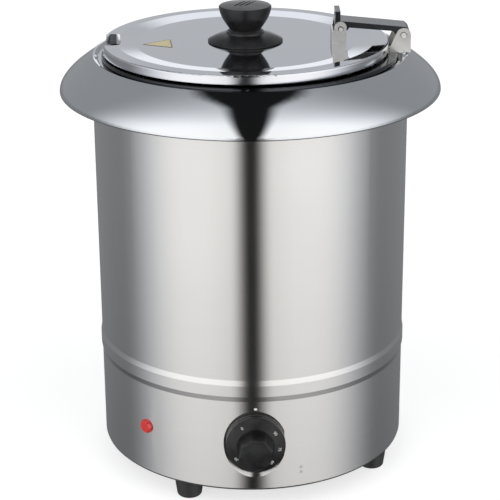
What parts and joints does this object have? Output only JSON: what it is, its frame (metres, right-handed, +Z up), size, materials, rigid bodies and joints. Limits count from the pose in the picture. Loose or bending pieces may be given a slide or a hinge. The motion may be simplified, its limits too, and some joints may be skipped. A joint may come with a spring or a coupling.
{
  "type": "soup kettle",
  "caption": "Electric wet-heat soup kettle: flared chrome rim, brushed drum, hinged notched lid, lift-out pot, dial and feet.",
  "frame": {"origin": "on the floor under the kettle's axis, at the centre of the bounding box's bottom", "axes": "+Z up, -Y is the front with the thermostat dial, +X is the lid hinge side"},
  "size_m": [0.3426, 0.3426, 0.43],
  "materials": {
    "brushed": "fine horizontal brushing",
    "collar_chrome": "mirror",
    "lid_steel": "polished stainless",
    "pot_steel": "satin inside",
    "well_steel": "satin",
    "bracket_nickel": "satin nickel",
    "arm_chrome": "polished",
    "pin_steel": "polished",
    "knob_black": "black phenolic, satin",
    "dial_black": "black, fine satin",
    "shaft_brass": "turned",
    "lens_red": "translucent red",
    "lamp_white": "moulded",
    "label_yellow": "blank printed film",
    "mark_white": "printed",
    "plate_silver": "blank satin plate",
    "base_black": "black enamel",
    "foot_rubber": "black rubber",
    "zinc": "zinc plated",
    "element_steel": "heat-darkened",
    "shield_alu": "mill finish",
    "ceramic": "ceramic",
    "bush_black": "moulded nylon",
    "copper": "drawn copper",
    "lead_grey": "silicone sleeve"
  },
  "bodies": {
    "kettle": {"body_casing": "brushed", "rim_collar": "collar_chrome", "collar_brackets": "zinc", "collar_screws": "zinc", "base_screws": "zinc", "side_rivets": "zinc", "water_well": "well_steel", "index_mark": "mark_white", "rating_plate": "plate_silver", "thermostat_body": "zinc", "thermostat_screws": "zinc", "lamp_lens": "lens_red", "lamp_body": "lamp_white", "lamp_nut": "zinc", "cord_bushing": "bush_black", "bushing_nut": "bush_black", "heating_element": "element_steel", "element_clamp": "shield_alu", "clamp_studs": "zinc", "clamp_nuts": "zinc", "shield_spacers": "zinc", "heat_shield": "shield_alu", "shield_nuts": "zinc", "sensor_bulb": "copper", "sensor_capillary": "copper", "bulb_clip": "zinc", "thermal_cutout": "ceramic", "base_plate": "base_black", "foot_front_left": "foot_rubber", "foot_front_right": "foot_rubber", "foot_rear_right": "foot_rubber", "foot_rear_left": "foot_rubber", "foot_screws": "zinc", "foot_nuts": "zinc", "terminal_block": "lamp_white", "terminal_screws": "zinc", "neutral_lead": "lead_grey", "live_lead": "lead_grey", "switched_lead": "lead_grey"},
    "pot": {"inner_pot": "pot_steel", "rim_bracket": "bracket_nickel", "rim_bracket_rivets": "pin_steel", "hinge_pin": "pin_steel"},
    "arm": {"hinge_arm": "arm_chrome"},
    "lid": {"lid": "lid_steel", "lid_bracket": "bracket_nickel", "lid_bracket_rivets": "pin_steel", "lid_pivot_pin": "pin_steel", "knob_skirt": "knob_black", "lid_knob": "knob_black", "knob_screw": "zinc", "lid_label": "label_yellow"},
    "dial": {"thermostat_dial": "dial_black", "thermostat_shaft": "shaft_brass"}
  },
  "joints": [
    {"name": "pot_lift", "type": "slide", "parent": "kettle", "child": "pot", "axis": [0, 0, 1], "range_m": [0, 0.28]},
    {"name": "arm_hinge", "type": "hinge", "parent": "pot", "child": "arm", "pos_m": [0.1363, 0, 0.4032], "axis": [0, 1, 0], "range_deg": [0, 95]},
    {"name": "lid_pivot", "type": "hinge", "parent": "arm", "child": "lid", "pos_m": [0.0805, 0, 0.409], "axis": [0, 1, 0], "range_deg": [-5.8, 0]},
    {"name": "dial_turn", "type": "hinge", "parent": "kettle", "child": "dial", "pos_m": [0.0026, -0.142, 0.065], "axis": [0, 1, 0], "range_deg": [0, 300]}
  ],
  "couplings": [
    {"joint": "lid_pivot", "follows": "arm_hinge", "ratio": -0.06}
  ]
}
